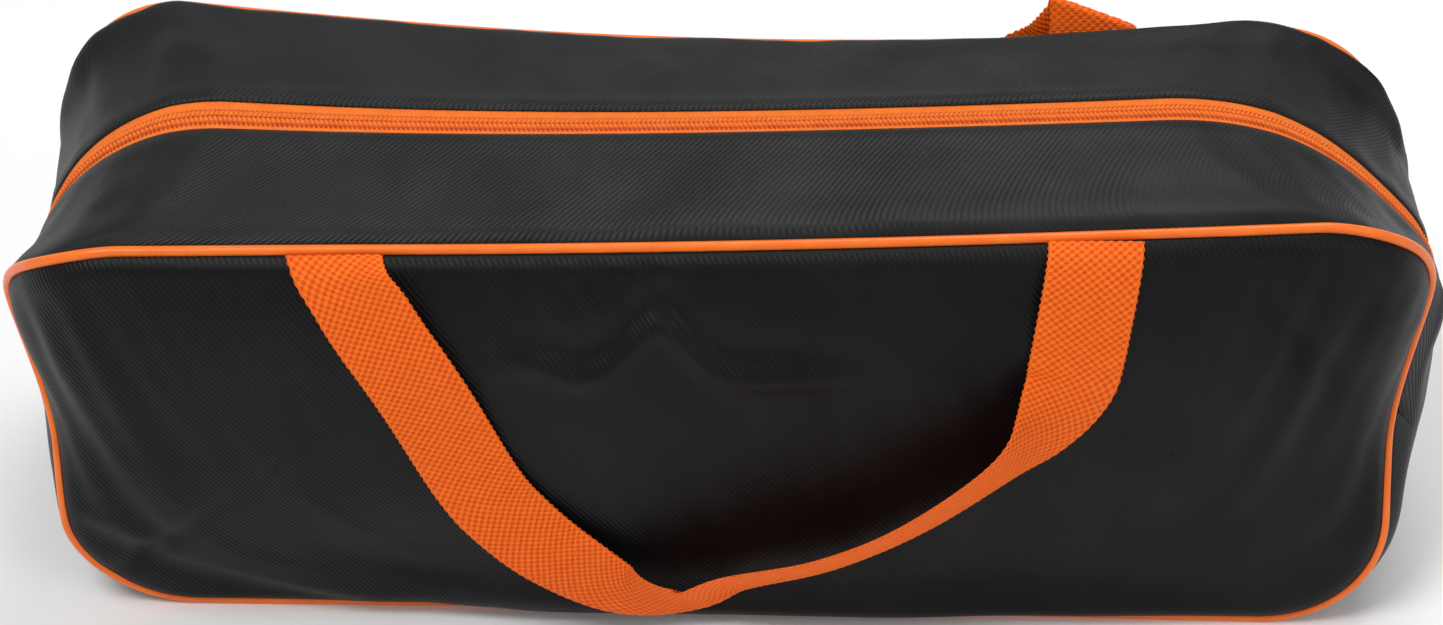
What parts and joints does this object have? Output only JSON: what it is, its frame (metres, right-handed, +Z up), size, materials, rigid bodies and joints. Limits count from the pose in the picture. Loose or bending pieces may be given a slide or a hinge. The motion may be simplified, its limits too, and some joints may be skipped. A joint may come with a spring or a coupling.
{
  "type": "zip-top sandbag",
  "caption": "Box-shaped fabric sandbag with piped edges, a zip over its top, two webbing carry handles and sand-filled liner pouches inside.",
  "frame": {"origin": "on the floor, under the middle of the object's box", "axes": "+Z up, +X along the bag's length, -Y out of the front panel"},
  "size_m": [0.3986, 0.1764, 0.1393],
  "materials": {
    "shell": "matte",
    "gusset": "matte",
    "piping": "gloss",
    "binding": "matte",
    "zip_tape": "matte",
    "zip_coil": "satin",
    "webbing": "matte",
    "slider": "satin",
    "liner": "matte",
    "tie": "satin"
  },
  "bodies": {
    "bag": {"front_panel": "shell", "back_panel": "shell", "zip_gusset_front": "gusset", "zip_gusset_back": "gusset", "base_gusset": "gusset", "front_piping": "piping", "back_piping": "piping", "front_binding": "binding", "back_binding": "binding", "end_binding_left": "binding", "end_binding_right": "binding", "zip_tape_front": "zip_tape", "zip_tape_back": "zip_tape", "zip_coil": "zip_coil", "back_handle_root": "webbing", "ballast_left": "liner", "ballast_right": "liner", "ballast_tie_left": "tie", "ballast_tie_right": "tie"},
    "front_handle": {"front_handle": "webbing"},
    "back_handle": {"back_handle": "webbing"},
    "slider": {"slider_body": "slider", "slider_bridge": "slider"},
    "pull_tab": {"pull_tab": "slider"}
  },
  "joints": [
    {"name": "front_handle_swing", "type": "hinge", "parent": "bag", "child": "front_handle", "pos_m": [-0.10032, -0.06623, 0.12625], "axis": [-0.9992, -0.0396, -0.0041], "range_deg": [0, 180]},
    {"name": "back_handle_swing", "type": "hinge", "parent": "bag", "child": "back_handle", "pos_m": [-0.09331, 0.06632, 0.11945], "axis": [0.9992, -0.0406, 0.003], "range_deg": [0, 180]},
    {"name": "slider_run", "type": "hinge", "parent": "bag", "child": "slider", "pos_m": [-0.13538, -0.00523, 0.07989], "axis": [0, 1, 0], "range_deg": [0, 70]},
    {"name": "tab_swing", "type": "hinge", "parent": "slider", "child": "pull_tab", "pos_m": [-0.19708, -0.00523, 0.07989], "axis": [0, 1, 0], "range_deg": [0, 170]}
  ]
}
